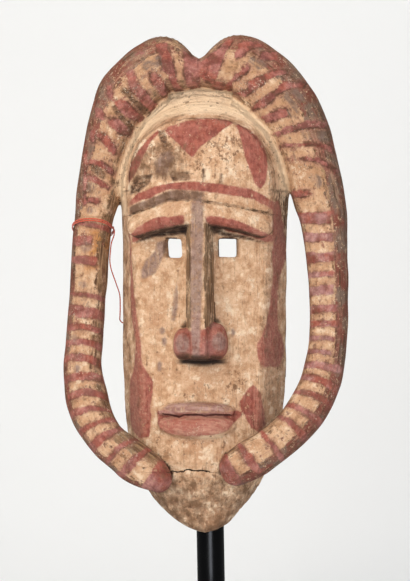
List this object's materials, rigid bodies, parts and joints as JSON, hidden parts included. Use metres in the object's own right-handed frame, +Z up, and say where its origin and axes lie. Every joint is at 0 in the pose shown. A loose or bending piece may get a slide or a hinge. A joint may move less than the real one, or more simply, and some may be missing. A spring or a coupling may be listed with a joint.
{
  "type": "horned mask on a stand",
  "caption": "Carved and painted wooden face mask, hollow behind, with long horns that curl down to the chin, held upright on a black steel rod and plate.",
  "frame": {"origin": "centre of the stand plate's underside, below the middle of the rod", "axes": "+Z up along the rod; the mask looks along -Y, so +X is the viewer's right"},
  "size_m": [0.2975, 0.18, 0.6531],
  "materials": {
    "painted_wood": "matte",
    "cotton_thread": "matte",
    "black_steel": "satin"
  },
  "bodies": {
    "root": {"mask": "painted_wood", "thread": "cotton_thread", "thread_knot": "cotton_thread", "rod": "black_steel", "base_plate": "black_steel"}
  },
  "joints": []
}
